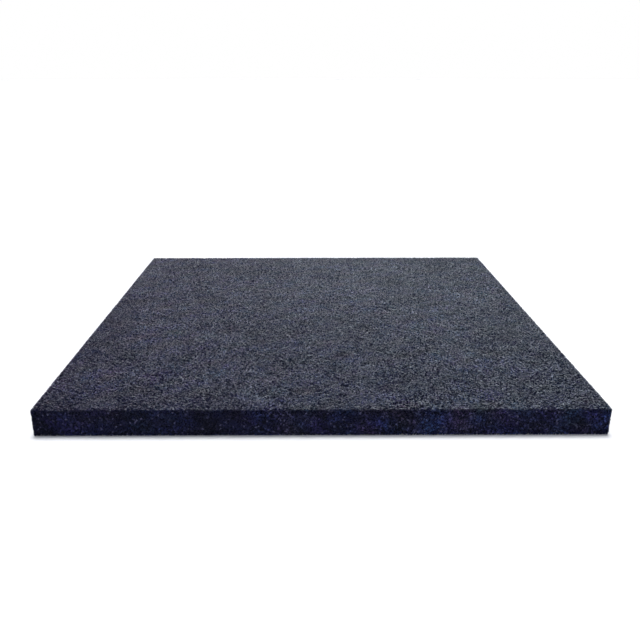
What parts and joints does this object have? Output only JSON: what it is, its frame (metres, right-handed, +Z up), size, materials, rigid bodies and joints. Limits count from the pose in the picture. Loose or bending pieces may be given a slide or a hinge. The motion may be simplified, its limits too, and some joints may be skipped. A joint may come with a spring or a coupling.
{
  "type": "rubber gym floor tile",
  "caption": "Square slab of pressed rubber crumb, flat on both faces, laid edge to edge with like tiles as an impact-damping gym floor.",
  "frame": {"origin": "centre of the underside, on the floor that the tile lies on", "axes": "+Z up through the thickness, +X along the front edge to the right, +Y from the front edge to the back edge"},
  "size_m": [0.5, 0.5, 0.025],
  "materials": {
    "crumb_rubber": "matt, pressed black rubber crumb with small open pores, cool blue-grey where it catches the light"
  },
  "bodies": {
    "root": {"rubber_tile": "crumb_rubber"}
  },
  "joints": []
}
